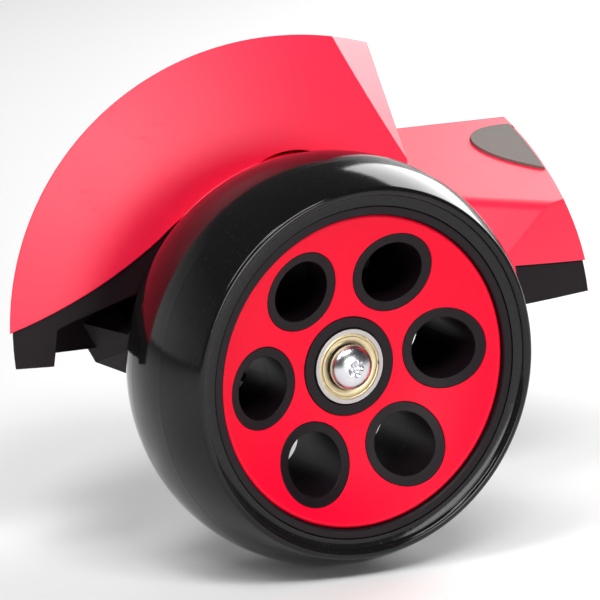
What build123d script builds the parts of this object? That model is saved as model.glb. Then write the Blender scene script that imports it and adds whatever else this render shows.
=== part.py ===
from build123d import *
import math
import os

# Corner wheel pod of a ride-on: one wheel on a fixed axle, under a fairing with a deck wing.
# Millimetres. The origin is on the mounting face, at the axle line. +Y points into the vehicle,
# -Y outboard, +Z up. "Reach" is the distance outboard of the mounting face, so Y = -reach.

# ---- driving dimensions -------------------------------------------------------------------------
# fairing form
WALL = 3.0                 # cover and tray wall
CROWN_R = 400.0            # crown of the outboard wall
WALL_REACH = 60.5          # outboard wall at the axle line
RIM_R = 86.1               # radius of the round outline at RIM_AT
RIM_AT = (11.1, 51.0, 0.6)  # a point on the outline's axis: x, reach, z
RIM_DRAFT = 2.4            # the outline widens towards the vehicle by this draft
SWEEP_YAW = 28.7           # the outline runs back into the vehicle at this yaw
SWEEP_DROP = 13.2          # and this drop
DECK_Z = 45.0              # deck height at the mounting face
DECK_SLOPE = 20.0          # deck's fall towards the outside
DECK_EDGE = ((72.0, 40.6), (101.0, 48.6))  # two points on the deck's outer edge: x, reach
EDGE_SLOPE = 58.0          # fall of the shoulder below that edge
DECK_ROUND = 7.0           # round between the deck and its shoulder
DECK_START_X = 20.0        # where the deck wing starts inside the tower
TOWER_X = 44.7             # tower's inner side at the deck
TOWER_LEAN = 3.8           # lean of that side
CREASE_X = 44.7            # front crease of the tower at the deck
CREASE_LEAN = 30.9         # lean of the crease
BEVEL_TURN = 45.0          # the bevel runs back from the crease at this angle in plan
TRAY_Z = -1.7              # underside of the tray
SEAM = 0.4                 # gap between the cover and the tray
TRAY_STEP = 0.8            # the tray's wall sits this far inside the cover's

# wheel arch
ARCH_AT = (6.9, -3.1)      # centre of the arch: x, z
ARCH_R = 57.2              # outside of the arch lip
LIP_T = 3.2                # thickness of the lip
LIP_GAP = 0.9              # between the lip's front and the tyre
LIP_END_Z = 3.5            # height of the lip's lower end
SLIT_H = 1.2               # height of the slit above the lip
SLIT_ANGLES = (84.0, 103.0)  # ends of the slit, round the arch from +X
RECESS_X = (-70.5, 70.0)   # wheel recess in the tray
RECESS_DEPTH = 38.0        # reach of the recess's back wall
FLOOR_Z = 4.0              # underside of the tray's floor
FLOOR_T = 3.0

# arm
ARM_HALF_WIDTH = 57.0      # half width of the arm at the recess wall
ARM_TOP_Z = 6.7
ARM_TAPER = 30.0
ARM_LENGTH = 16.0          # stretch of the tapered arm
TUBE_R = 14.0              # axle tube
TUBE_REACH = 69.0          # its outboard face
NUT_POCKET_R = 8.6
NUT_POCKET_REACH = 24.0

# mounting plate
PLATE_T = 4.0
PLATE_GAP = 0.3            # round the plate, inside the cover and tray
PLATE_TAB_R = 18.0         # tab round the axle line
MOUNT_X = 90.0             # mounting holes, hole to hole
MOUNT_Z = 22.0
MOUNT_CENTRE = (27.0, 23.0)
MOUNT_HOLE_R = 3.3

# wheel
BOSS_REACH = 100.0         # outer face of the hub's boss
MID = -11.8                # mid-plane of the wheel, from the boss face, outboard positive
TYRE_R = 60.6
TYRE_CROWN_R = 46.2
TYRE_HALF = 23.0           # half the tyre's width, over the beads
BEAD_R = 1.5               # round of the tyre's beads
BOSS_R = 14.5
TUBES = 6
TUBE_PITCH_R = 29.9
TUBE_START = 5.0           # angle of the first tube from +X
COLLAR_R = 12.0
TUBE_BORE_R = 9.2
DISC_R = 46.1
DISC_T = 1.8
RIM_BAND = 2.8             # width of the hub's rim between the disc and the tyre
RIB_H = 2.5                # rib round the hub that keys the tyre
RIB_W = 4.0                # half the rib's width
DISH_Z = (-0.3, 1.9, 8.9)  # disc height at the boss, at the tubes and at the rim
RIM_FACE = 9.6             # hub rim face
RIM_EASE = 0.4             # eased edges of the rim face
WEB_T = 2.8
HUB_SCREWS = 3
HUB_SCREW_PITCH_R = 40.5
CLEAR = 0.15               # clearance between trim pieces

# bearings, size 608
BEARING_R = 11.0
BEARING_BORE_R = 4.0
BEARING_W = 7.0
BEARING_PROUD = 0.3        # bearing face in front of the boss face
BALLS = 7
BALL_R = 1.985
BALL_PITCH_R = 7.5
BALL_CLEAR = 0.04
OUTER_LAND_R = 9.0
INNER_LAND_R = 6.0
SHIELD_R = 9.8
SHIELD_BORE_R = 7.0
SHIELD_T = 0.3
SHIELD_DEPTH = 0.5
SNAP_T = 0.35              # snap ring that holds the shield
SNAP_GAP = 2.4

# axle
SHANK_R = 3.96
HEAD_R = 6.0
HEAD_H = 4.2
HEAD_SOCKET_R = 2.0
HEAD_SOCKET_DEPTH = 2.0
NUT_AF = 13.0
NUT_H = 8.0
WASHER_R = 8.0
WASHER_T = 1.6

# screws
SCREW_R = 1.45
SCREW_HEAD_R = 3.2
SCREW_HEAD_H = 2.0
SCREW_HOLE_R = 1.7
PILOT_R = 1.5
POST_R = 4.0
COVER_POSTS = ((-42.0, 24.0), (26.0, 24.0), (62.0, 24.0), (98.0, 24.0))  # x, reach
COVER_SCREW_L = 10.0
PLATE_POSTS = (-36.0, 34.0, 62.0, 104.0)                                # x
PLATE_SCREW_L = 12.0

# grip pad on the deck
PAD_HALF_L = 30.0
PAD_HALF_W = 13.8
PAD_T = 1.6
PAD_SINK = 0.8
PAD_AT = (119.8, 22.3)     # x, and distance down the deck
PAD_TURN = -22.0

FAR = 160.0                # beyond the whole part

# ---- construction planes ------------------------------------------------------------------------
yaw = math.radians(SWEEP_YAW)
drop = math.radians(SWEEP_DROP)
sweep_dir = (math.sin(yaw) * math.cos(drop), math.cos(yaw) * math.cos(drop), -math.sin(drop))
rim_plane = Plane(origin=(RIM_AT[0], -RIM_AT[1], RIM_AT[2]), z_dir=sweep_dir)
wheel_section = Plane(origin=(0, -BOSS_REACH, 0), x_dir=(1, 0, 0), z_dir=(0, 0, -1))
deck_tilt = math.tan(math.radians(DECK_SLOPE))
tower_slope = math.tan(math.radians(TOWER_LEAN))
crease_slope = math.tan(math.radians(CREASE_LEAN))
rim_draft = math.tan(math.radians(RIM_DRAFT))
seat_r = DISC_R + RIM_BAND
tyre_face_reach = BOSS_REACH + MID - TYRE_HALF
lip_reach = tyre_face_reach - LIP_GAP
deck_plane = Plane(origin=(0, 0, DECK_Z), x_dir=(1, 0, 0), z_dir=(0, -math.sin(math.radians(DECK_SLOPE)),
                   math.cos(math.radians(DECK_SLOPE))))


def station(reach):
    """The XZ plane at a reach, looking outboard."""
    return Plane.XZ.offset(reach)


def wall_reach(x, z):
    """Reach of the crowned outboard wall."""
    return WALL_REACH - (x * x + z * z) / (2 * CROWN_R)


def bevel_plane(inset):
    """The tower's bevel, through its crease and the front of its inner side."""
    low_z = DECK_Z + 3.0
    high_z = low_z + 40.0
    crease_low = Vector(CREASE_X, -wall_reach(CREASE_X, low_z), low_z)
    high_x = CREASE_X - crease_slope * (high_z - low_z)
    crease_high = Vector(high_x, -wall_reach(high_x, high_z), high_z)
    across = Vector(math.cos(math.radians(BEVEL_TURN)), math.sin(math.radians(BEVEL_TURN)), 0)
    normal = (crease_high - crease_low).cross(across).normalized()
    if normal.Y > 0:
        normal = normal * -1
    return Plane(origin=crease_low - normal * inset, z_dir=normal)


def edge_plane(inset):
    """The shoulder below the deck's outer edge."""
    ends = [Vector(x, -reach, DECK_Z - deck_tilt * reach) for x, reach in DECK_EDGE]
    along = (ends[1] - ends[0]).normalized()
    fall = Vector(0, -math.cos(math.radians(EDGE_SLOPE)), -math.sin(math.radians(EDGE_SLOPE)))
    normal = along.cross(fall).normalized()
    if normal.Z < 0:
        normal = normal * -1
    return Plane(origin=ends[0] - normal * inset, z_dir=normal)


def rim_cone(inset):
    """The drafted round outline as a solid, moved inward by inset."""
    with BuildPart() as cone:
        with Locations(rim_plane):
            Cone(RIM_R - inset - FAR * rim_draft, RIM_R - inset + FAR * rim_draft, 2 * FAR)
    return cone.part


def sculpted_block(inset, back):
    """The body's outer form with every face moved inward by inset, open to the back."""
    centre = (0, CROWN_R - WALL_REACH, 0)
    side_x = TOWER_X - inset
    with BuildPart() as tower:
        with BuildSketch(station(-back)):
            with BuildLine():
                Polyline((-FAR, -FAR), (side_x + tower_slope * (DECK_Z + FAR), -FAR),
                         (side_x - tower_slope * (FAR - DECK_Z), FAR), (-FAR, FAR), close=True)
            make_face()
        extrude(amount=back + WALL_REACH + WALL)
        add(rim_cone(inset), mode=Mode.INTERSECT)
        with Locations(centre):
            Sphere(CROWN_R - inset, mode=Mode.INTERSECT)
        split(bisect_by=bevel_plane(inset), keep=Keep.BOTTOM)
    with BuildPart() as deck:
        with BuildSketch(station(-back)):
            with Locations((DECK_START_X, -FAR)):
                Rectangle(FAR, 2 * FAR, align=(Align.MIN, Align.MIN))
        extrude(amount=back + WALL_REACH + WALL)
        add(rim_cone(inset), mode=Mode.INTERSECT)
        with Locations(centre):
            Sphere(CROWN_R - inset, mode=Mode.INTERSECT)
        split(bisect_by=deck_plane.offset(-inset), keep=Keep.BOTTOM)
        split(bisect_by=edge_plane(inset), keep=Keep.BOTTOM)
        deck_faces = deck.faces().filter_by(GeomType.PLANE)
        top_face = deck_faces.filter_by(lambda f: f.normal_at().dot(deck_plane.z_dir) > 0.999)[0]
        fall_face = deck_faces.filter_by(lambda f: f.normal_at().dot(edge_plane(0).z_dir) > 0.999)[0]
        shared = [e for e in top_face.edges() if any(e.is_same(o) for o in fall_face.edges())]
        fillet(shared, DECK_ROUND - inset)
    with BuildPart() as block:
        add(tower.part)
        add(deck.part)
    return block.part


def parting_face(drop_by):
    """Everything below the line where the cover meets the tray."""
    with BuildSketch(station(-FAR)) as below:
        with BuildLine():
            arch = ThreePointArc((-100, 4.6 - drop_by), (-69.6, 15.3 - drop_by), (-39.2, 33.4 - drop_by))
            peak = ThreePointArc(arch @ 1, (2, 49 - drop_by), (44, 32 - drop_by))
            Polyline(peak @ 1, (64 + drop_by, 4.2 - drop_by), (85.2 + drop_by, 4.2 - drop_by),
                     (84.0 + drop_by, 11.0 - drop_by), (FAR, 3.9 - drop_by), (FAR, -FAR),
                     (-100, -FAR), arch @ 0)
        make_face()
    return below.sketch


def save(part, name):
    part.label = name
    export_step(part, f"parts/{name}.step")


os.makedirs("parts", exist_ok=True)
outer_form = sculpted_block(0, 0)
inner_form = sculpted_block(WALL, 10)

# ---- top cover ----------------------------------------------------------------------------------
post_spots = [(x, -reach) for x, reach in COVER_POSTS]
with BuildPart() as cover_posts:
    with BuildSketch(Plane.XY.offset(FLOOR_Z + FLOOR_T)):
        with Locations(post_spots):
            Circle(POST_R)
    extrude(amount=FAR)
    add(outer_form, mode=Mode.INTERSECT)
    with BuildSketch(Plane.XY.offset(FLOOR_Z + FLOOR_T)):
        with Locations(post_spots):
            Circle(PILOT_R)
    extrude(amount=COVER_SCREW_L, mode=Mode.SUBTRACT)

# the lip stands in front of the tray, and joins the cover's wall above the seam
arch_left = ARCH_AT[0] - ARCH_R
arch_right = ARCH_AT[0] + ARCH_R
with BuildPart() as arch_lip:
    with BuildSketch(station(lip_reach)):
        with Locations(ARCH_AT):
            Circle(ARCH_R)
            Circle(ARCH_R - LIP_T, mode=Mode.SUBTRACT)
        with Locations((0, LIP_END_Z)):
            Rectangle(2 * FAR, FAR, align=(Align.CENTER, Align.MIN), mode=Mode.INTERSECT)
    extrude(amount=-(lip_reach - wall_reach(arch_right, 0) + WALL / 2))
    lip_rim = arch_lip.faces().sort_by(Axis.Y)[0].edges().filter_by(GeomType.CIRCLE)
    fillet(lip_rim, LIP_T / 3)
    extrude(parting_face(0), amount=FAR + wall_reach(arch_left + LIP_T, 0) + SEAM - TRAY_STEP,
            mode=Mode.SUBTRACT)

with BuildPart() as lip_slit:
    slit_angles = [math.radians(a) for a in (SLIT_ANGLES[0], sum(SLIT_ANGLES) / 2, SLIT_ANGLES[1])]
    slit_ends = [(ARCH_AT[0] + ARCH_R * math.cos(a), ARCH_AT[1] + ARCH_R * math.sin(a)) for a in slit_angles]
    with BuildSketch(station(WALL_REACH - 3 * WALL)):
        with BuildLine():
            ThreePointArc(slit_ends[0], slit_ends[1], slit_ends[2])
            ThreePointArc(slit_ends[0], (slit_ends[1][0], slit_ends[1][1] + SLIT_H), slit_ends[2])
        make_face()
    extrude(amount=3 * WALL)

with BuildPart() as grip_pad:
    with BuildSketch(deck_plane.offset(-PAD_SINK)):
        with Locations(Location((PAD_AT[0], -PAD_AT[1], 0), (0, 0, PAD_TURN))):
            Ellipse(PAD_HALF_L, PAD_HALF_W)
    extrude(amount=PAD_T)
    add(rim_cone(SEAM), mode=Mode.INTERSECT)

with BuildPart() as pad_recess:
    with BuildSketch(deck_plane.offset(-PAD_SINK)):
        with Locations(Location((PAD_AT[0], -PAD_AT[1], 0), (0, 0, PAD_TURN))):
            Ellipse(PAD_HALF_L + CLEAR, PAD_HALF_W + CLEAR)
    extrude(amount=PAD_T)

with BuildPart() as top_cover:
    add(outer_form)
    add(inner_form, mode=Mode.SUBTRACT)
    extrude(parting_face(0), amount=2 * FAR, mode=Mode.SUBTRACT)
    add(cover_posts.part)
    add(arch_lip.part)
    add(pad_recess.part, mode=Mode.SUBTRACT)
    add(lip_slit.part, mode=Mode.SUBTRACT)
save(top_cover.part, "top_cover")
save(grip_pad.part, "grip_pad")

# ---- lower tray, with the arm that carries the axle ---------------------------------------------
tray_outer = sculpted_block(TRAY_STEP, 0)
tray_inner = sculpted_block(TRAY_STEP + WALL, 10)
floor_form = sculpted_block(WALL + SEAM, 0)
recess_width = RECESS_X[1] - RECESS_X[0]
recess_mid = (RECESS_X[0] + RECESS_X[1]) / 2

with BuildPart() as tray_floor:
    with BuildSketch(Plane.XY.offset(FLOOR_Z)):
        Rectangle(2 * FAR, 2 * FAR)
    extrude(amount=FLOOR_T)
    add(floor_form, mode=Mode.INTERSECT)
    with BuildSketch(station(PLATE_T + PLATE_GAP)):
        Rectangle(4 * FAR, 4 * FAR)
    extrude(amount=-FAR, mode=Mode.SUBTRACT)

with BuildPart() as tray_rim:
    add(tray_outer)
    add(tray_inner, mode=Mode.SUBTRACT)
    extrude(parting_face(SEAM), amount=2 * FAR, mode=Mode.INTERSECT)
    with BuildSketch(Plane.XY.offset(TRAY_Z)):
        Rectangle(4 * FAR, 4 * FAR)
    extrude(amount=-FAR, mode=Mode.SUBTRACT)

# the recess behind the wheel, closed by a back wall that carries the arm
with BuildPart() as recess:
    with BuildSketch(station(RECESS_DEPTH)):
        with BuildLine():
            Polyline((RECESS_X[0] - 1.3, TRAY_Z - 1), (RECESS_X[0], 9), (-65.6, 11.2), (-48, 17.4),
                     (-10, 28), (30, 26), (58, 10), (RECESS_X[1], TRAY_Z - 1), close=True)
        make_face()
    extrude(amount=WALL_REACH - RECESS_DEPTH + 1)

with BuildPart() as recess_wall:
    with BuildSketch(station(RECESS_DEPTH - WALL)):
        with Locations((recess_mid, TRAY_Z)):
            Rectangle(recess_width + 2 * WALL, FAR, align=(Align.CENTER, Align.MIN))
    extrude(amount=WALL)
    add(floor_form, mode=Mode.INTERSECT)
    extrude(parting_face(SEAM), amount=2 * FAR, mode=Mode.INTERSECT)

with BuildPart() as arm:
    with BuildSketch(station(RECESS_DEPTH - WALL)):
        with BuildLine():
            left = Polyline((-49, -6.8), (-ARM_HALF_WIDTH, ARM_TOP_Z), (-46, 14), (46, 14),
                            (ARM_HALF_WIDTH, ARM_TOP_Z), (49, -6.8), (22, -19))
            ThreePointArc(left @ 1, (0, -24), (-22, -19))
            Line((-22, -19), left @ 0)
        make_face()
    extrude(amount=ARM_LENGTH, taper=ARM_TAPER)
    with BuildSketch(station(PLATE_T + PLATE_GAP)):
        Circle(TUBE_R)
    extrude(amount=TUBE_REACH - PLATE_T - PLATE_GAP)

with BuildPart() as lower_tray:
    add(tray_rim.part)
    add(tray_floor.part)
    add(recess.part, mode=Mode.SUBTRACT)
    add(recess_wall.part)
    add(arm.part)
    # bosses for the plate's screws
    with BuildSketch(station(PLATE_T + PLATE_GAP)):
        with Locations([(x, FLOOR_Z + FLOOR_T / 2) for x in PLATE_POSTS]):
            Circle(POST_R)
    extrude(amount=PLATE_SCREW_L + WALL)
    with BuildSketch(station(PLATE_T + PLATE_GAP)):
        with Locations([(x, FLOOR_Z + FLOOR_T / 2) for x in PLATE_POSTS]):
            Circle(PILOT_R)
    extrude(amount=PLATE_SCREW_L, mode=Mode.SUBTRACT)
    # axle bore and nut pocket
    with BuildSketch(station(0)):
        Circle(SHANK_R + CLEAR / 3)
    extrude(amount=FAR, mode=Mode.SUBTRACT)
    with BuildSketch(station(0)):
        Circle(NUT_POCKET_R)
    extrude(amount=NUT_POCKET_REACH, mode=Mode.SUBTRACT)
    # holes for the cover's screws
    with BuildSketch(Plane.XY.offset(FLOOR_Z - 1)):
        with Locations(post_spots):
            Circle(SCREW_HOLE_R)
    extrude(amount=FLOOR_T + 2, mode=Mode.SUBTRACT)
save(lower_tray.part, "lower_tray")

# ---- mounting plate -----------------------------------------------------------------------------
with BuildPart() as plate_outline:
    add(sculpted_block(WALL + TRAY_STEP + PLATE_GAP, 0))
    with BuildSketch(station(0)):
        with Locations((0, TRAY_Z)):
            Rectangle(4 * FAR, FAR, align=(Align.CENTER, Align.MIN))
    extrude(amount=PLATE_T, mode=Mode.INTERSECT)

with BuildPart() as mounting_plate:
    add(plate_outline.part)
    with BuildSketch(station(0)):
        Circle(PLATE_TAB_R)
    extrude(amount=PLATE_T)
    with BuildSketch(station(0)):
        with Locations(MOUNT_CENTRE):
            with GridLocations(MOUNT_X, MOUNT_Z, 2, 2):
                Circle(MOUNT_HOLE_R)
        with Locations([(x, FLOOR_Z + FLOOR_T / 2) for x in PLATE_POSTS]):
            Circle(SCREW_HOLE_R)
    extrude(amount=PLATE_T, mode=Mode.SUBTRACT)
    with BuildSketch(station(0)):
        with Locations([(x, FLOOR_Z + FLOOR_T / 2) for x in PLATE_POSTS]):
            Circle(SCREW_HEAD_R + CLEAR)
    extrude(amount=SCREW_HEAD_H + CLEAR, mode=Mode.SUBTRACT)
save(mounting_plate.part, "mounting_plate")


def screw(plane, length):
    """A pan-head screw, its head's underside on the plane and its shank along the plane's normal."""
    with BuildPart() as one:
        with BuildSketch(plane):
            Circle(SCREW_HEAD_R)
        extrude(amount=-SCREW_HEAD_H)
        with BuildSketch(plane):
            Circle(SCREW_R)
        extrude(amount=length)
        with BuildSketch(plane.offset(-SCREW_HEAD_H)):
            Rectangle(SCREW_HEAD_R, SCREW_HEAD_H / 3)
            Rectangle(SCREW_HEAD_H / 3, SCREW_HEAD_R)
        extrude(amount=SCREW_HEAD_H / 2, mode=Mode.SUBTRACT)
    return one.part


cover_screws = Compound(children=[
    screw(Plane(origin=(x, -reach, FLOOR_Z), z_dir=(0, 0, 1)), FLOOR_T + COVER_SCREW_L - CLEAR)
    for x, reach in COVER_POSTS])
save(cover_screws, "cover_screws")
plate_screws = Compound(children=[
    screw(Plane(origin=(x, -SCREW_HEAD_H - CLEAR, FLOOR_Z + FLOOR_T / 2), z_dir=(0, -1, 0)),
          PLATE_SCREW_L)
    for x in PLATE_POSTS])
save(plate_screws, "plate_screws")


# ---- axle ---------------------------------------------------------------------------------------
bearing_face = BOSS_REACH + BEARING_PROUD
inner_bearing_back = BOSS_REACH + 2 * MID - BEARING_PROUD
nut_face = NUT_POCKET_REACH - WASHER_T


def ring(outer_r, inner_r, reach_out, length):
    """A plain ring on the axle line, its outboard face at reach_out."""
    with BuildPart() as one:
        with BuildSketch(station(reach_out)):
            Circle(outer_r)
            Circle(inner_r, mode=Mode.SUBTRACT)
        extrude(amount=-length)
    return one.part


with BuildPart() as axle_bolt:
    with BuildSketch(wheel_section):
        with BuildLine():
            Polyline((0, BEARING_PROUD), (HEAD_R, BEARING_PROUD), (HEAD_R, BEARING_PROUD + HEAD_H * 0.35))
            ThreePointArc((HEAD_R, BEARING_PROUD + HEAD_H * 0.35),
                          (HEAD_R * 0.72, BEARING_PROUD + HEAD_H * 0.82),
                          (HEAD_SOCKET_R, BEARING_PROUD + HEAD_H))
            Polyline((HEAD_SOCKET_R, BEARING_PROUD + HEAD_H), (0, BEARING_PROUD + HEAD_H), (0, BEARING_PROUD))
        make_face()
    revolve(axis=Axis.Y)
    with BuildSketch(station(bearing_face + HEAD_H)):
        RegularPolygon(HEAD_SOCKET_R, 6)
    extrude(amount=-HEAD_SOCKET_DEPTH, mode=Mode.SUBTRACT)
    with BuildSketch(station(bearing_face)):
        Circle(SHANK_R)
    extrude(amount=-(bearing_face - nut_face + NUT_H + WASHER_T))
save(axle_bolt.part, "axle_bolt")

with BuildPart() as axle_nut:
    with BuildSketch(station(nut_face)):
        RegularPolygon(NUT_AF / 2, 6, major_radius=False)
        Circle(SHANK_R + CLEAR / 10, mode=Mode.SUBTRACT)
    extrude(amount=-NUT_H)
save(axle_nut.part, "axle_nut")
save(ring(WASHER_R, SHANK_R + CLEAR, NUT_POCKET_REACH, WASHER_T), "nut_washer")
save(ring(INNER_LAND_R + 0.5, SHANK_R + CLEAR / 3, inner_bearing_back, inner_bearing_back - TUBE_REACH),
     "arm_spacer")
save(ring(INNER_LAND_R, SHANK_R + CLEAR / 3, bearing_face - BEARING_W,
          bearing_face - inner_bearing_back - 2 * BEARING_W), "bearing_spacer")

# ---- bearings -----------------------------------------------------------------------------------
half_w = BEARING_W / 2


def race_groove(bearing):
    """The ball groove as a torus at the bearing's middle."""
    with Locations(Location((0, -bearing, 0), (90, 0, 0))):
        Torus(BALL_PITCH_R, BALL_R + BALL_CLEAR, mode=Mode.SUBTRACT)


for name, mid_reach in (("outer", bearing_face - half_w), ("inner", inner_bearing_back + half_w)):
    with BuildPart() as outer_ring:
        add(ring(BEARING_R, OUTER_LAND_R, mid_reach + half_w, BEARING_W))
        race_groove(mid_reach)
        for face, way in ((mid_reach + half_w, -1), (mid_reach - half_w, 1)):
            with BuildSketch(station(face)):
                Circle(SHIELD_R)
            extrude(amount=way * (SHIELD_DEPTH + SHIELD_T), mode=Mode.SUBTRACT)
    save(outer_ring.part, f"{name}_bearing_outer_ring")
    with BuildPart() as inner_ring:
        add(ring(INNER_LAND_R, BEARING_BORE_R, mid_reach + half_w, BEARING_W))
        race_groove(mid_reach)
    save(inner_ring.part, f"{name}_bearing_inner_ring")
    shields = [ring(SHIELD_R - CLEAR / 3, SHIELD_BORE_R, mid_reach + half_w - SHIELD_DEPTH, SHIELD_T),
               ring(SHIELD_R - CLEAR / 3, SHIELD_BORE_R, mid_reach - half_w + SHIELD_DEPTH + SHIELD_T, SHIELD_T)]
    save(Compound(children=shields), f"{name}_bearing_shields")
    with BuildPart() as snap_rings:
        for top in (mid_reach + half_w - SHIELD_DEPTH + SNAP_T, mid_reach - half_w + SHIELD_DEPTH):
            add(ring(SHIELD_R - CLEAR / 3, SHIELD_R - 2 * SNAP_T, top, SNAP_T))
        with BuildSketch(station(mid_reach - half_w)):
            with Locations((SHIELD_R, 0)):
                Rectangle(8 * SNAP_T, SNAP_GAP)
        extrude(amount=BEARING_W, mode=Mode.SUBTRACT)
    save(snap_rings.part, f"{name}_bearing_snap_rings")
    with BuildPart() as balls:
        with Locations(station(mid_reach)):
            with PolarLocations(BALL_PITCH_R, BALLS):
                Sphere(BALL_R)
    save(balls.part, f"{name}_bearing_balls")
    with BuildPart() as cage:
        add(ring(BALL_PITCH_R + 0.8, BALL_PITCH_R - 0.8, mid_reach + 2.5, 2.0))
        with Locations(station(mid_reach)):
            with PolarLocations(BALL_PITCH_R, BALLS):
                Sphere(BALL_R + BALL_CLEAR, mode=Mode.SUBTRACT)
    save(cage.part, f"{name}_bearing_cage")

# ---- hub ----------------------------------------------------------------------------------------
tube_spots = [Location((TUBE_PITCH_R * math.cos(a), TUBE_PITCH_R * math.sin(a), 0))
              for a in (math.radians(TUBE_START + k * 360 / TUBES) for k in range(TUBES))]
screw_spots = [Location((HUB_SCREW_PITCH_R * math.cos(a), HUB_SCREW_PITCH_R * math.sin(a), 0))
               for a in (math.radians(TUBE_START + 30 + k * 360 / HUB_SCREWS) for k in range(HUB_SCREWS))]


def dish_arc(lower):
    """The dish line of the disc, lowered."""
    return ThreePointArc((BOSS_R, DISH_Z[0] - lower), (TUBE_PITCH_R, DISH_Z[1] - lower),
                         (DISC_R, DISH_Z[2] - lower))


web_top = DISC_T + CLEAR / 3
web_joint = DISH_Z[2] - web_top - 1    # where the web meets the rim
with BuildPart() as hub_half:
    with BuildSketch(wheel_section):
        # boss
        with Locations((BEARING_BORE_R + 4.6, MID)):
            Rectangle(BOSS_R - BEARING_BORE_R - 4.6, -MID, align=(Align.MIN, Align.MIN))
        # dished web
        with BuildLine():
            top = dish_arc(web_top)
            under = dish_arc(web_top + WEB_T)
            Line(top @ 0, under @ 0)
            Line(top @ 1, under @ 1)
        make_face()
        # rim
        with BuildLine():
            Polyline((DISC_R + CLEAR, RIM_FACE - RIM_EASE), (DISC_R + CLEAR + RIM_EASE, RIM_FACE),
                     (seat_r - RIM_EASE / 2, RIM_FACE), (seat_r, RIM_FACE - RIM_EASE / 2),
                     (seat_r, MID + RIB_W), (seat_r + RIB_H, MID + RIB_W), (seat_r + RIB_H, MID),
                     (seat_r - WALL, MID), (DISC_R - 1, web_joint - WEB_T), (DISC_R - 1, web_joint),
                     (DISC_R + CLEAR, web_joint + 1), close=True)
        make_face()
    revolve(axis=Axis.Y)
    # tubes, cut to the dish
    with BuildSketch(wheel_section):
        with BuildLine():
            dish = dish_arc(0)
            Polyline(dish @ 0, (BOSS_R, RIM_FACE + 10), (DISC_R, RIM_FACE + 10), dish @ 1)
        make_face()
    above = revolve(axis=Axis.Y, mode=Mode.PRIVATE)
    with BuildSketch(station(BOSS_REACH + MID)):
        with Locations(tube_spots):
            Circle(COLLAR_R)
    tubes = extrude(amount=RIM_FACE - MID, mode=Mode.PRIVATE)
    add(tubes - above)
    with BuildSketch(station(BOSS_REACH + MID)):
        with Locations(tube_spots):
            Circle(TUBE_BORE_R)
    extrude(amount=FAR, mode=Mode.SUBTRACT)
    # bearing pocket
    with BuildSketch(station(BOSS_REACH + 1)):
        Circle(BEARING_R)
    extrude(amount=-(BEARING_W - BEARING_PROUD + 1), mode=Mode.SUBTRACT)
    pocket_mouth = hub_half.edges().filter_by(GeomType.CIRCLE).filter_by(lambda e: abs(e.radius - BEARING_R) < 0.01)
    chamfer(pocket_mouth.sort_by(Axis.Y)[0], 0.6)

mirror_plane = station(BOSS_REACH + MID)
with BuildPart() as screw_bosses:
    with BuildSketch(station(BOSS_REACH + MID)):
        with Locations(screw_spots):
            Circle(POST_R)
    extrude(amount=-MID + DISH_Z[1])
with BuildPart() as hub_outer_half:
    add(hub_half.part)
    add(screw_bosses.part)
    with BuildSketch(station(BOSS_REACH + MID)):
        with Locations(screw_spots):
            Circle(PILOT_R)
    extrude(amount=8, mode=Mode.SUBTRACT)
save(hub_outer_half.part, "hub_outer_half")
with BuildPart() as hub_inner_half:
    add(hub_half.part)
    add(screw_bosses.part)
    with BuildSketch(station(BOSS_REACH + MID)):
        with Locations(screw_spots):
            Circle(SCREW_HOLE_R)
    extrude(amount=FAR, mode=Mode.SUBTRACT)
    with BuildSketch(station(BOSS_REACH + DISH_Z[1])):
        with Locations(screw_spots):
            Circle(SCREW_HEAD_R + CLEAR)
    extrude(amount=FAR, mode=Mode.SUBTRACT)
    mirror(about=mirror_plane, mode=Mode.REPLACE)
save(hub_inner_half.part, "hub_inner_half")

head_plane_reach = BOSS_REACH + 2 * MID - DISH_Z[1]
hub_screws = Compound(children=[
    screw(Plane(origin=(spot.position.X, -head_plane_reach, spot.position.Y), z_dir=(0, -1, 0)),
          -MID + DISH_Z[1] + 7.0)
    for spot in screw_spots])
save(hub_screws, "hub_screws")

# ---- disc cover ---------------------------------------------------------------------------------
with BuildPart() as disc_cover:
    with BuildSketch(wheel_section):
        with BuildLine():
            face = dish_arc(0)
            back = dish_arc(DISC_T)
            Line(face @ 0, back @ 0)
            Line(face @ 1, back @ 1)
        make_face()
    revolve(axis=Axis.Y)
    with BuildSketch(station(BOSS_REACH + MID)):
        with Locations(tube_spots):
            Circle(COLLAR_R + CLEAR)
        Circle(BOSS_R + CLEAR)
    extrude(amount=FAR, mode=Mode.SUBTRACT)
    face_edge = disc_cover.edges().filter_by(GeomType.CIRCLE).sort_by(Axis.Y)[0]
    fillet(face_edge, DISC_T / 2)
save(disc_cover.part, "disc_cover")

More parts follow.
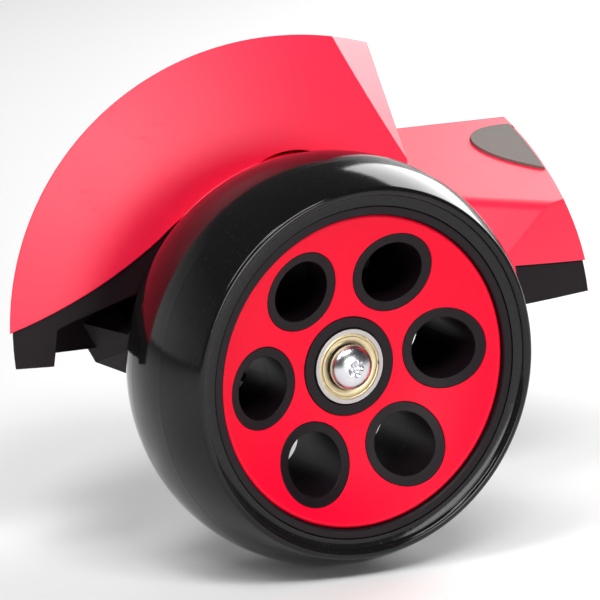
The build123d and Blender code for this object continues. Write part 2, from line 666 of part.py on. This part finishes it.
# ---- tyre ---------------------------------------------------------------------------------------
# the beads are tangent to the crown, and each drops to a flat ring level with the hub's rim
crown_angle = math.asin((TYRE_HALF - BEAD_R) / (TYRE_CROWN_R - BEAD_R))
bead_d = TYRE_HALF - BEAD_R
bead_r = TYRE_R - TYRE_CROWN_R + (TYRE_CROWN_R - BEAD_R) * math.cos(crown_angle)
crown_end_r = bead_r + BEAD_R * math.cos(crown_angle)
crown_end_d = bead_d + BEAD_R * math.sin(crown_angle)
with BuildPart() as tyre:
    with BuildSketch(wheel_section):
        with BuildLine():
            for side in (-1, 1):
                Polyline((seat_r + RIB_H, MID), (seat_r + RIB_H, MID + side * RIB_W),
                         (seat_r, MID + side * RIB_W), (seat_r, MID + side * bead_d),
                         (bead_r - BEAD_R, MID + side * bead_d))
                ThreePointArc((bead_r - BEAD_R, MID + side * bead_d), (bead_r, MID + side * TYRE_HALF),
                              (crown_end_r, MID + side * crown_end_d))
            ThreePointArc((crown_end_r, MID - crown_end_d), (TYRE_R, MID), (crown_end_r, MID + crown_end_d))
        make_face()
    revolve(axis=Axis.Y)
save(tyre.part, "tyre")
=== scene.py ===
import bmesh
import bpy
import math
from bpy.props import (
    FloatProperty, FloatVectorProperty, IntProperty, PointerProperty)
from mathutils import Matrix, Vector


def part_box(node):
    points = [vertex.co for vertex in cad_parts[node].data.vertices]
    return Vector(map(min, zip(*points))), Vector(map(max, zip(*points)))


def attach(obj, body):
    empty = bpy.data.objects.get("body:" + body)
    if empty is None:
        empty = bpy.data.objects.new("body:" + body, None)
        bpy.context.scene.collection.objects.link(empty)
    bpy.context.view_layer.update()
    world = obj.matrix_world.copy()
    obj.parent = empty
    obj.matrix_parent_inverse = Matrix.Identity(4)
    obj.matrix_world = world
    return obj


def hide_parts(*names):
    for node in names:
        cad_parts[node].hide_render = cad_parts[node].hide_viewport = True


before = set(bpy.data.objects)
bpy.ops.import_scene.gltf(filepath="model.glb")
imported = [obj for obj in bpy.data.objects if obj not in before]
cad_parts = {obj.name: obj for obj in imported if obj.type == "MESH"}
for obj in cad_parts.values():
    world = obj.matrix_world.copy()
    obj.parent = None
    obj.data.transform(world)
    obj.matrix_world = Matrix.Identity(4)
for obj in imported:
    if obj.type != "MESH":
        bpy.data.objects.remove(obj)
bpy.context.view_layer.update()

bl_info = {
    "name": "Ride-on Wheel Pod",
    "version": (1, 0, 0),
    "blender": (4, 5, 0),
    "location": "View3D > Sidebar > Wheel Pod",
    "description": "Dresses the wheel pod's frame with its tyre, bearing, bolt, pad and finishes",
    "category": "Object",
}

MM = 0.001

# ---- places taken from the frame -------------------------------------------------------------
tyre_low, tyre_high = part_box("tyre")
disc_low, disc_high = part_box("disc_cover")
bolt_low, bolt_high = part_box("axle_bolt")
bearing_low, bearing_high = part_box("outer_bearing_outer_ring")
inner_low, inner_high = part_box("inner_bearing_outer_ring")
TYRE_RADIUS = (tyre_high.z - tyre_low.z) / 2
TYRE_MID = (tyre_high.y + tyre_low.y) / 2
TYRE_HALF = (tyre_high.y - tyre_low.y) / 2
DISC_RADIUS = (disc_high.z - disc_low.z) / 2


# ---- shader bench ------------------------------------------------------------------------------
class Wire:
    """A value socket that takes part in Python sums."""

    def __init__(self, bench, socket):
        self.bench = bench
        self.socket = socket

    def _sum(self, operation, other, swapped=False):
        pair = (other, self) if swapped else (self, other)
        return self.bench.add("ShaderNodeMath", {"operation": operation},
                              {0: pair[0], 1: pair[1]})

    def __add__(self, other):
        return self._sum("ADD", other)

    def __radd__(self, other):
        return self._sum("ADD", other, True)

    def __mul__(self, other):
        return self._sum("MULTIPLY", other)

    def __rmul__(self, other):
        return self._sum("MULTIPLY", other, True)

    def __pow__(self, other):
        return self._sum("POWER", other)


class Bench:
    """One material's node tree, with a single way to add a node."""

    def __init__(self, name):
        self.material = bpy.data.materials.new(name)
        self.material.use_nodes = True
        self.tree = self.material.node_tree
        self.shader = next(n for n in self.tree.nodes if n.type == "BSDF_PRINCIPLED")

    def feed(self, socket, value):
        if isinstance(value, Wire):
            self.tree.links.new(value.socket, socket)
        else:
            socket.default_value = value

    def add(self, kind, settings=None, inputs=None, out=0):
        node = self.tree.nodes.new(kind)
        for key, value in (settings or {}).items():
            if key == "stops":
                ramp = node.color_ramp
                while len(ramp.elements) < len(value):
                    ramp.elements.new(0.5)
                for element, (place, level) in zip(ramp.elements, value):
                    element.position = place
                    element.color = (level, level, level, 1)
            else:
                setattr(node, key, value)
        for key, value in (inputs or {}).items():
            self.feed(node.inputs[key], value)
        return Wire(self, node.outputs[out])

    def place(self):
        return self.add("ShaderNodeTexCoord", out="Object")

    def noise(self, scale, detail=2.0, rough=0.5, where=None, out=0):
        return self.add("ShaderNodeTexNoise", {},
                        {"Vector": where or self.place(), "Scale": scale, "Detail": detail,
                         "Roughness": rough}, out)

    def ramp(self, value, *stops):
        return self.add("ShaderNodeValToRGB", {"stops": stops}, {0: value})

    def blend(self, factor, first, second):
        return self.add("ShaderNodeMix", {"data_type": "RGBA"},
                        {0: factor, 6: first, 7: second}, 2)

    def bump(self, height, strength, distance, normal=None):
        inputs = {"Height": height, "Strength": strength, "Distance": distance}
        if normal:
            inputs["Normal"] = normal
        return self.add("ShaderNodeBump", {}, inputs)

    def set(self, **values):
        for key, value in values.items():
            self.feed(self.shader.inputs[key.replace("_", " ")], value)
        return self.material


def rgba(colour, gain=1.0):
    return (colour[0] * gain, colour[1] * gain, colour[2] * gain, 1.0)


EDGE_EASE = 0.5 * MM        # round that the light shows on moulded edges


def moulded_plastic(name, colour, roughness, grain, specular, mottling):
    """Injection-moulded plastic: cloudy flow, a fine grain and a few rubbed hairlines."""
    bench = Bench(name)
    where = bench.place()
    cloud = bench.noise(38, 4, 0.6, where)
    drift = bench.noise(9, 2, 0.5, where)
    fine = bench.noise(2600, 3, 0.6, where)
    ripple = bench.noise(160, 2, 0.5, where)
    drawn_out = bench.add("ShaderNodeMapping", {}, {
        "Vector": where, "Rotation": (0.4, 0.9, 0.3), "Scale": (60, 2600, 900)})
    scratches = bench.ramp(bench.noise(1.0, 1, 0.3, drawn_out), (0.70, 0.0), (0.76, 1.0))
    tone = bench.blend(cloud, rgba(colour, 1 - mottling), rgba(colour, 1 + mottling))
    tone = bench.blend(drift * 0.35, tone, rgba(colour, 0.86))
    shine = roughness - 0.05 + 0.08 * cloud + 0.05 * fine + 0.08 * scratches
    eased = bench.add("ShaderNodeBevel", {"samples": 6}, {"Radius": EDGE_EASE})
    relief = bench.bump(fine, grain, 0.04 * MM, eased)
    relief = bench.bump(ripple, 0.10, 0.2 * MM, relief)
    bench.shader.inputs["Specular IOR Level"].default_value = specular
    return bench.set(Base_Color=tone, Roughness=shine, Normal=relief)


def cast_urethane(name, colour):
    """Glossy cast tyre: almost mirror smooth, with faint orange peel, haze, pits and dust."""
    bench = Bench(name)
    where = bench.place()
    dust = bench.ramp(bench.noise(900, 6, 0.7, where), (0.56, 0.0), (0.72, 1.0))
    haze = bench.noise(26, 3, 0.55, where)
    peel = bench.noise(240, 2, 0.5, where)
    pits = bench.ramp(bench.noise(1500, 2, 0.6, where), (0.24, 1.0), (0.3, 0.0))
    tone = bench.blend(dust * 0.08 + 0.05 * haze, rgba(colour), (0.12, 0.115, 0.11, 1))
    shine = 0.07 + 0.07 * haze + 0.16 * dust
    relief = bench.bump(peel, 0.05, 0.3 * MM)
    relief = bench.bump(pits, 0.05, 0.05 * MM, relief)
    bench.shader.inputs["Specular IOR Level"].default_value = 0.30
    return bench.set(Base_Color=tone, Roughness=shine, Normal=relief)


def plated_metal(name, colour, roughness, turned, stain):
    """Plated or ground metal: tool marks round the axle, cloudy plating and small pits."""
    bench = Bench(name)
    where = bench.place()
    split = bench.add("ShaderNodeSeparateXYZ", {}, {0: where}).socket.node
    across = Wire(bench, split.outputs[0])
    up = Wire(bench, split.outputs[2])
    radius = (across * across + up * up) ** 0.5
    rings = bench.add("ShaderNodeTexNoise", {"noise_dimensions": "1D"},
                      {"W": radius, "Scale": 9000, "Detail": 3.0})
    cloud = bench.noise(420, 4, 0.6, where)
    pits = bench.ramp(bench.noise(3800, 2, 0.5, where), (0.30, 1.0), (0.38, 0.0))
    tone = bench.blend(cloud, rgba(colour, 1 - stain), rgba(colour, 1 + stain * 0.5))
    tone = bench.blend(pits * 0.35, tone, rgba(colour, 0.55))
    shine = roughness + 0.12 * cloud + 0.10 * rings
    relief = bench.bump(rings, turned, 0.03 * MM)
    relief = bench.bump(cloud, 0.12, 0.06 * MM, relief)
    bench.shader.inputs["Metallic"].default_value = 1.0
    return bench.set(Base_Color=tone, Roughness=shine, Normal=relief)


def dimpled_rubber(name, colour):
    """Matt rubber pad with a fine dotted grain."""
    bench = Bench(name)
    where = bench.place()
    dots = bench.add("ShaderNodeTexVoronoi", {"distance": "EUCLIDEAN"},
                     {"Vector": where, "Scale": 900.0, "Randomness": 0.25})
    cloud = bench.noise(140, 4, 0.6, where)
    tone = bench.blend(cloud, rgba(colour, 0.85), rgba(colour, 1.2))
    shine = 0.52 + 0.18 * cloud
    relief = bench.bump(dots, 0.45, 0.1 * MM)
    return bench.set(Base_Color=tone, Roughness=shine, Normal=relief)


# ---- mesh helpers ------------------------------------------------------------------------------
def put_in_scene(name, bm, material, body, angle):
    """Makes the piece's object, smooth but for edges sharper than the angle."""
    bmesh.ops.recalc_face_normals(bm, faces=bm.faces)
    mesh = bpy.data.meshes.new(name)
    bm.to_mesh(mesh)
    bm.free()
    mesh.polygons.foreach_set("use_smooth", [True] * len(mesh.polygons))
    mesh.set_sharp_from_angle(angle=math.radians(angle))
    mesh.materials.append(material)
    piece = bpy.data.objects.new(name, mesh)
    bpy.context.scene.collection.objects.link(piece)
    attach(piece, body)
    return piece


def row_at(bm, outline, turn):
    """One outline of (radius, y) points, stood at a turn round the axle line."""
    return [bm.verts.new((r * math.cos(turn), y, r * math.sin(turn))) for r, y in outline]


def skin(bm, rows):
    """Joins a full ring of closed outlines, each to the next."""
    for k, near in enumerate(rows):
        far = rows[(k + 1) % len(rows)]
        for i in range(len(near)):
            j = (i + 1) % len(near)
            bm.faces.new((near[i], near[j], far[j], far[i]))


def lathe(bm, outline, steps):
    """Turns a closed outline round the axle line."""
    rows = [row_at(bm, outline, 2 * math.pi * k / steps) for k in range(steps)]
    skin(bm, rows)
    return rows


def arc(centre, radius, start, end, steps):
    """Points on an arc in the (radius, y) plane, in degrees: 0 is outward, 90 is outboard."""
    points = []
    for k in range(steps + 1):
        a = math.radians(start + (end - start) * k / steps)
        points.append((centre[0] + radius * math.cos(a), centre[1] - radius * math.sin(a)))
    return points


# ---- settings ----------------------------------------------------------------------------------
class PodFinish(bpy.types.PropertyGroup):
    """Colours of the moulded and cast parts"""

    cover_colour: FloatVectorProperty(
        name="Cover", description="Colour of the cover", subtype="COLOR", size=3,
        default=(0.97, 0.014, 0.062))
    disc_colour: FloatVectorProperty(
        name="Disc", description="Colour of the wheel disc", subtype="COLOR", size=3,
        default=(0.90, 0.0008, 0.028))
    black_colour: FloatVectorProperty(
        name="Black parts", description="Colour of the tray and hub", subtype="COLOR", size=3,
        default=(0.0080, 0.0042, 0.0062))
    tyre_colour: FloatVectorProperty(
        name="Tyre", description="Colour of the tyre", subtype="COLOR", size=3,
        default=(0.0035, 0.0035, 0.0038))
    pad_colour: FloatVectorProperty(
        name="Pad", description="Colour of the grip pad", subtype="COLOR", size=3,
        default=(0.16, 0.14, 0.125))


class PodTyre(bpy.types.PropertyGroup):
    """Sizes of the tyre's section"""

    crown_radius: FloatProperty(
        name="Crown radius", description="Radius of the tread across its width", unit="LENGTH",
        default=46.2 * MM)
    bead_radius: FloatProperty(
        name="Bead radius", description="Round of the beads", unit="LENGTH",
        default=1.5 * MM)
    seat_band: FloatProperty(
        name="Seat", description="From the disc's edge out to the tyre", unit="LENGTH",
        default=2.85 * MM)
    mould_line: FloatProperty(
        name="Mould line", description="Height of the line left by the mould", unit="LENGTH",
        default=0.06 * MM)
    steps: IntProperty(name="Steps", description="Faces round the wheel", default=288, min=48)


class PodBearing(bpy.types.PropertyGroup):
    """Sizes of the bearing shields and the axle bolt"""

    notches: IntProperty(
        name="Notches", description="Notches round a shield's edge", default=7, min=3)
    head_radius: FloatProperty(
        name="Head radius", description="Radius of the axle bolt's head", unit="LENGTH",
        default=6.6 * MM)
    shank_radius: FloatProperty(
        name="Shank radius", description="Radius of the axle bolt's shank", unit="LENGTH",
        default=3.96 * MM)
    recess_radius: FloatProperty(
        name="Recess", description="Reach of the head's cross recess", unit="LENGTH",
        default=2.3 * MM)


def paint(finish):
    """The materials, each made once."""
    made = bpy.data.materials
    if "pod_cover_red" in made:
        return made
    for name, colour, roughness, grain, specular, mottling in (
            ("pod_cover_red", finish.cover_colour, 0.34, 0.10, 0.5, 0.06),
            ("pod_disc_red", finish.disc_colour, 0.42, 0.12, 0.16, 0.05),
            ("pod_tray_black", finish.black_colour, 0.50, 0.30, 0.20, 0.25),
            ("pod_hub_black", finish.black_colour, 0.42, 0.22, 0.20, 0.2),
            ("pod_plate_black", finish.black_colour, 0.5, 0.30, 0.30, 0.25),
            ("pod_cage_nylon", (0.72, 0.66, 0.48), 0.45, 0.15, 0.5, 0.12)):
        moulded_plastic(name, colour, roughness, grain, specular, mottling)
    for name, colour, roughness, turned, stain in (
            ("pod_bright_zinc", (0.74, 0.75, 0.78), 0.14, 0.25, 0.18),
            ("pod_bearing_steel", (0.50, 0.47, 0.46), 0.26, 0.25, 0.12),
            ("pod_yellow_zinc", (0.66, 0.55, 0.34), 0.28, 0.15, 0.18)):
        plated_metal(name, colour, roughness, turned, stain)
    cast_urethane("pod_tyre_black", finish.tyre_colour)
    dimpled_rubber("pod_pad_rubber", finish.pad_colour)
    return made


NODE_PAINT = {
    "top_cover": "cover_red", "disc_cover": "disc_red", "lower_tray": "tray_black",
    "mounting_plate": "plate_black", "grip_pad": "pad_rubber", "tyre": "tyre_black",
    "hub_outer_half": "hub_black", "hub_inner_half": "hub_black", "axle_bolt": "bright_zinc",
    "axle_nut": "bright_zinc", "nut_washer": "bright_zinc", "cover_screws": "bright_zinc",
    "plate_screws": "bright_zinc", "hub_screws": "bright_zinc",
}


class WHEELPOD_OT_finishes(bpy.types.Operator):
    """Give every frame node its finish"""

    bl_idname = "wheelpod.finishes"
    bl_label = "Finishes"

    def execute(self, context):
        materials = paint(context.scene.wheelpod_finish)
        for name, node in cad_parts.items():
            choice = NODE_PAINT.get(name, "bearing_steel")
            if "shields" in name or "snap" in name:
                choice = "yellow_zinc"
            if "cage" in name:
                choice = "cage_nylon"
            node.data.materials.clear()
            node.data.materials.append(materials["pod_" + choice])
        return {"FINISHED"}


TREAD_STEPS = 64            # points across the tread
MOULD_LINE_POINTS = (20, 44)    # the tread points that carry the mould's lines
BEAD_STEPS = 22
BEAD_BACK = 172             # degrees that a bead's round reaches, towards the seat
BEAD_STEP = 0.25 * MM       # small step from a bead down to the tyre's flat side
SEAT_EDGE = 0.15 * MM       # bevel on the edge against the hub


class WHEELPOD_OT_tyre(bpy.types.Operator):
    """Cast the tyre, with its beads and the line left by the mould"""

    bl_idname = "wheelpod.tyre"
    bl_label = "Tyre"

    def execute(self, context):
        form = context.scene.wheelpod_tyre
        crown, bead = form.crown_radius, form.bead_radius
        seat = DISC_RADIUS + form.seat_band
        ends = math.degrees(math.asin((TYRE_HALF - bead) / (crown - bead)))
        low = TYRE_RADIUS - crown
        bead_r = low + (crown - bead) * math.cos(math.radians(ends))
        bead_d = TYRE_HALF - bead
        flat = (seat + SEAT_EDGE, bead_r - bead - BEAD_STEP)
        outline = [(seat, TYRE_MID + bead_d - bead), (seat, TYRE_MID - bead_d + bead)]
        outline += [(flat[0], TYRE_MID - bead_d), (flat[1], TYRE_MID - bead_d)]
        outline += arc((bead_r, TYRE_MID - bead_d), bead, BEAD_BACK, ends, BEAD_STEPS)
        tread = arc((low, TYRE_MID), crown, ends, -ends, TREAD_STEPS)[1:-1]
        for place in MOULD_LINE_POINTS:
            radius, y = tread[place]
            tread[place] = (radius + form.mould_line, y)
        outline += tread
        outline += arc((bead_r, TYRE_MID + bead_d), bead, -ends, -BEAD_BACK, BEAD_STEPS)
        outline += [(flat[1], TYRE_MID + bead_d), (flat[0], TYRE_MID + bead_d)]
        bm = bmesh.new()
        lathe(bm, outline, form.steps)
        material = paint(context.scene.wheelpod_finish)["pod_tyre_black"]
        piece = put_in_scene("tyre_cast", bm, material, "wheel", 50)
        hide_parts("tyre")
        return {"FINISHED"}


# A shield's face from the bore out, as (radius, depth below the ring's face) in millimetres.
SHIELD_FACE = (
    (6.9, 0.70), (6.98, 0.52), (7.3, 0.34), (8.3, 0.16), (8.70, 0.20), (8.86, 0.52),
    (9.04, 0.52), (9.2, 0.14), (9.42, 0.08), (9.64, 0.14), (9.74, 0.42))
SHEET = 0.16                # thickness of the sheet
SHEET_DRAW = 0.03           # how far its under side is drawn in
NOTCH_PITCH = 28            # steps round the shield for each notch
NOTCH_STEPS = 2             # steps that a notch is wide
NOTCH_FROM = 9.15           # radius where a notch begins
NOTCH_REACH = 0.25          # share of the rolled edge that is left in a notch
NOTCH_SINK = 0.22           # how far a notch is pressed down


class WHEELPOD_OT_shields(bpy.types.Operator):
    """Press the bearings' shields, with a rolled edge and notches round it"""

    bl_idname = "wheelpod.shields"
    bl_label = "Bearing shields"

    def execute(self, context):
        form = context.scene.wheelpod_bearing
        material = paint(context.scene.wheelpod_finish)["pod_yellow_zinc"]
        for name, low, high in (("outer", bearing_low, bearing_high),
                                ("inner", inner_low, inner_high)):
            bm = bmesh.new()
            for face, way in ((low.y, 1), (high.y, -1)):
                self.press(bm, form.notches, face, way)
            piece = put_in_scene(name + "_shields_pressed", bm, material,
                                 "wheel", 30)
            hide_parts(name + "_bearing_shields")
        return {"FINISHED"}

    def press(self, bm, notches, face, way):
        """One shield, set into the ring from the face at y, towards +Y or -Y by the way."""
        under = [(r - SHEET_DRAW, d + SHEET) for r, d in reversed(SHIELD_FACE)]
        steps = NOTCH_PITCH * notches
        rows = []
        for k in range(steps):
            outline = []
            for r, d in (*SHIELD_FACE, *under):
                if k % NOTCH_PITCH < NOTCH_STEPS and r > NOTCH_FROM:
                    r, d = NOTCH_FROM + (r - NOTCH_FROM) * NOTCH_REACH, d + NOTCH_SINK
                outline.append((r * MM, face + way * d * MM))
            rows.append(row_at(bm, outline, 2 * math.pi * k / steps))
        skin(bm, rows)


DOME_STEPS = 24
HEAD_RIM = 1.0 * MM         # depth of the head below its dome
HEAD_EDGE = 0.35 * MM       # bevel under the head, along the bolt
HEAD_EDGE_IN = 0.3 * MM     # the same bevel, towards the bolt
THREAD_LENGTH = 16 * MM
THREAD_TURNS = 24
THREAD_DEPTH = 0.45 * MM
THREAD_ROOT = -0.05 * MM    # where a turn's root and crest stand, along the bolt
THREAD_CREST = 0.22 * MM
POINT_LENGTH = 0.6 * MM     # plain end past the last turn
POINT_IN = 0.5 * MM
TIP = 0.0005 * MM           # an all but closed centre
TIP_SINK = 0.1 * MM
RECESS_ROWS = 16            # points out from the centre that the recess can move
RECESS_TURN = (0.94, 0.34)  # across and up of one arm of the cross
RECESS_SINK = 1.3 * MM
RECESS_FALL = 1.6           # how fast an arm's wall falls to the floor
RECESS_TAPER = 0.35
ARM_HALF = 0.75 * MM        # half an arm's width at the centre
ARM_SPREAD = 0.2            # how much an arm widens outward


class WHEELPOD_OT_bolt(bpy.types.Operator):
    """Forge the axle bolt: domed head with a cross recess, washer face and threaded end"""

    bl_idname = "wheelpod.bolt"
    bl_label = "Axle bolt"

    def execute(self, context):
        form = context.scene.wheelpod_bearing
        radius, shank = form.head_radius, form.shank_radius
        under = bearing_low.y
        crown = bolt_low.y
        rim = under - HEAD_RIM
        outline = [(TIP, crown + TIP_SINK)]
        for k in range(1, DOME_STEPS + 1):
            turn = math.radians(90 - k * 90 / DOME_STEPS)
            outline.append((radius * math.cos(turn), rim + (crown - rim) * math.sin(turn)))
        outline += [(radius, under - HEAD_EDGE), (radius - HEAD_EDGE_IN, under), (shank, under)]
        end = bolt_high.y
        thread_start = end - THREAD_LENGTH
        outline.append((shank, thread_start))
        for k in range(THREAD_TURNS):
            share = (k + 0.5) / THREAD_TURNS
            y = thread_start + (end - POINT_LENGTH - thread_start) * share
            outline += [(shank - THREAD_DEPTH, y + THREAD_ROOT), (shank, y + THREAD_CREST)]
        outline += [(shank - POINT_IN, end), (TIP, end)]
        bm = bmesh.new()
        rows = lathe(bm, outline, 144)
        along, aside = RECESS_TURN
        for row in rows:
            for vert in row[:RECESS_ROWS]:
                x, z = vert.co.x, vert.co.z
                turned = (x * along + z * aside, z * along - x * aside)
                reach = math.hypot(*turned)
                arm = min(abs(turned[0]), abs(turned[1]))
                inward = max(0.0, 1 - reach / form.recess_radius) ** RECESS_TAPER
                across = max(0.0, 1 - arm / (ARM_HALF + ARM_SPREAD * reach))
                vert.co.y += RECESS_SINK * min(1.0, RECESS_FALL * inward * across)
        material = paint(context.scene.wheelpod_finish)["pod_bright_zinc"]
        piece = put_in_scene("axle_bolt_forged", bm, material, "root", 40)
        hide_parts("axle_bolt")
        return {"FINISHED"}


BOSS_DEPTH = 0.0086         # from the disc's front back to the wheel's boss, in metres as below
VIEW_TURN = (-28.7, 13.0)   # the camera's turn about the wheel and its height, in degrees
VIEW_AIM = (-0.01402, 0.01907)  # the aim, across and up from the boss
VIEW_DISTANCE = 2.0
VIEW_LENS = 415.8
FLOOR_HALF = 8
FLOOR_GAP = 0.0002          # keeps the tyre off the sheet
# Each soft box: place from the aim, width and height, power in watts.
SOFT_BOXES = {
    "top_box": ((0.86, 0.50, 0.50), (0.7, 0.8), 10.0),
    "left_box": ((-0.55, -0.33, 0.85), (0.30, 0.7), 6.0),
    "front_box": ((0.20, -1.25, 0.12), (0.55, 0.5), 6.0),
    "high_box": ((-0.1, -0.8, 1.1), (0.7, 0.35), 9.0),
}
# The sky's light along each axis: from and to on the axis, and the strength at each.
SKY_BACK = (-0.3, 0.6, 0.08, 0.95)
SKY_UP = (0.15, 0.6, 1.0, 0.12)


class WHEELPOD_OT_stage(bpy.types.Operator):
    """Set the floor, the lights and the camera"""

    bl_idname = "wheelpod.stage"
    bl_label = "Stage"

    def execute(self, context):
        boss = Vector((0, disc_low.y + BOSS_DEPTH, 0))
        yaw, pitch = (math.radians(turn) for turn in VIEW_TURN)
        back = Vector((math.sin(yaw) * math.cos(pitch), -math.cos(yaw) * math.cos(pitch),
                       math.sin(pitch)))
        right = Vector((math.cos(yaw), math.sin(yaw), 0))
        up = back.cross(right)
        aim = boss + VIEW_AIM[0] * right + VIEW_AIM[1] * up
        lens_data = bpy.data.cameras.new("camera")
        lens_data.lens = VIEW_LENS
        lens_data.sensor_width = 36
        camera = bpy.data.objects.new("camera", lens_data)
        camera.location = aim + back * VIEW_DISTANCE
        camera.rotation_mode = "QUATERNION"
        camera.rotation_quaternion = (-back).to_track_quat("-Z", "Y")
        context.scene.collection.objects.link(camera)
        context.scene.camera = camera

        self.floor(context)
        self.lights(context, aim)
        self.sky(context)
        context.scene.view_settings.view_transform = "Standard"
        return {"FINISHED"}

    def floor(self, context):
        """A plain pale sheet under the wheel."""
        bm = bmesh.new()
        bmesh.ops.create_grid(bm, x_segments=8, y_segments=8, size=FLOOR_HALF)
        mesh = bpy.data.meshes.new("floor")
        bm.to_mesh(mesh)
        bm.free()
        bench = Bench("floor_paper")
        cloud = bench.noise(3, 2, 0.5)
        paper = bench.blend(cloud, (0.90, 0.90, 0.90, 1), (0.93, 0.93, 0.93, 1))
        bench.set(Base_Color=paper, Roughness=0.7)
        mesh.materials.append(bench.material)
        sheet = bpy.data.objects.new("floor", mesh)
        sheet.location = (0, 0, -TYRE_RADIUS - FLOOR_GAP)
        context.scene.collection.objects.link(sheet)

    def lights(self, context, aim):
        """Large soft boxes round the wheel."""
        for name, (place, size, power) in SOFT_BOXES.items():
            data = bpy.data.lights.new(name, "AREA")
            data.shape = "RECTANGLE"
            data.size, data.size_y = size
            data.energy = power
            lamp = bpy.data.objects.new(name, data)
            lamp.location = aim + Vector(place)
            lamp.rotation_mode = "QUATERNION"
            lamp.rotation_quaternion = (aim - lamp.location).to_track_quat("-Z", "Y")
            context.scene.collection.objects.link(lamp)

    def sky(self, context):
        """White to the eye; the light it gives is strong behind the wheel and low down."""
        world = bpy.data.worlds.new("studio")
        world.use_nodes = True
        context.scene.world = world
        tree = world.node_tree
        tree.nodes.clear()
        output = tree.nodes.new("ShaderNodeOutputWorld")
        seen = tree.nodes.new("ShaderNodeBackground")
        given = tree.nodes.new("ShaderNodeBackground")
        for background in (seen, given):
            background.inputs[0].default_value = (1, 1, 1, 1)
        place = tree.nodes.new("ShaderNodeTexCoord")
        split = tree.nodes.new("ShaderNodeSeparateXYZ")
        both = tree.nodes.new("ShaderNodeMath")
        both.operation = "MULTIPLY"
        rays = tree.nodes.new("ShaderNodeLightPath")
        mix = tree.nodes.new("ShaderNodeMixShader")
        tree.links.new(place.outputs["Generated"], split.inputs[0])
        for slot, (axis, limits) in enumerate(((1, SKY_BACK), (2, SKY_UP))):
            fade = tree.nodes.new("ShaderNodeMapRange")
            for socket, value in zip(fade.inputs[1:5], limits):
                socket.default_value = value
            tree.links.new(split.outputs[axis], fade.inputs[0])
            tree.links.new(fade.outputs[0], both.inputs[slot])
        tree.links.new(both.outputs[0], given.inputs[1])
        tree.links.new(rays.outputs["Is Camera Ray"], mix.inputs[0])
        tree.links.new(given.outputs[0], mix.inputs[1])
        tree.links.new(seen.outputs[0], mix.inputs[2])
        tree.links.new(mix.outputs[0], output.inputs[0])


class WHEELPOD_PT_panel(bpy.types.Panel):
    """Sizes, colours and steps of the wheel pod"""

    bl_label = "Wheel Pod"
    bl_idname = "WHEELPOD_PT_panel"
    bl_space_type = "VIEW_3D"
    bl_region_type = "UI"
    bl_category = "Wheel Pod"

    def draw(self, context):
        layout = self.layout
        scene = context.scene
        for group in (scene.wheelpod_finish, scene.wheelpod_tyre, scene.wheelpod_bearing):
            for key in group.__annotations__:
                layout.prop(group, key)
        for step in STEPS:
            layout.operator(step.bl_idname)


STEPS = (WHEELPOD_OT_stage, WHEELPOD_OT_finishes, WHEELPOD_OT_tyre, WHEELPOD_OT_shields,
         WHEELPOD_OT_bolt)
CLASSES = (PodFinish, PodTyre, PodBearing) + STEPS + (WHEELPOD_PT_panel,)


def register():
    for cls in CLASSES:
        bpy.utils.register_class(cls)
    bpy.types.Scene.wheelpod_finish = PointerProperty(type=PodFinish)
    bpy.types.Scene.wheelpod_tyre = PointerProperty(type=PodTyre)
    bpy.types.Scene.wheelpod_bearing = PointerProperty(type=PodBearing)


def unregister():
    del bpy.types.Scene.wheelpod_bearing
    del bpy.types.Scene.wheelpod_tyre
    del bpy.types.Scene.wheelpod_finish
    for cls in reversed(CLASSES):
        bpy.utils.unregister_class(cls)


def main():
    register()
    for step in STEPS:
        getattr(bpy.ops.wheelpod, step.bl_idname.split(".")[1])()


if __name__ == "__main__":
    main()
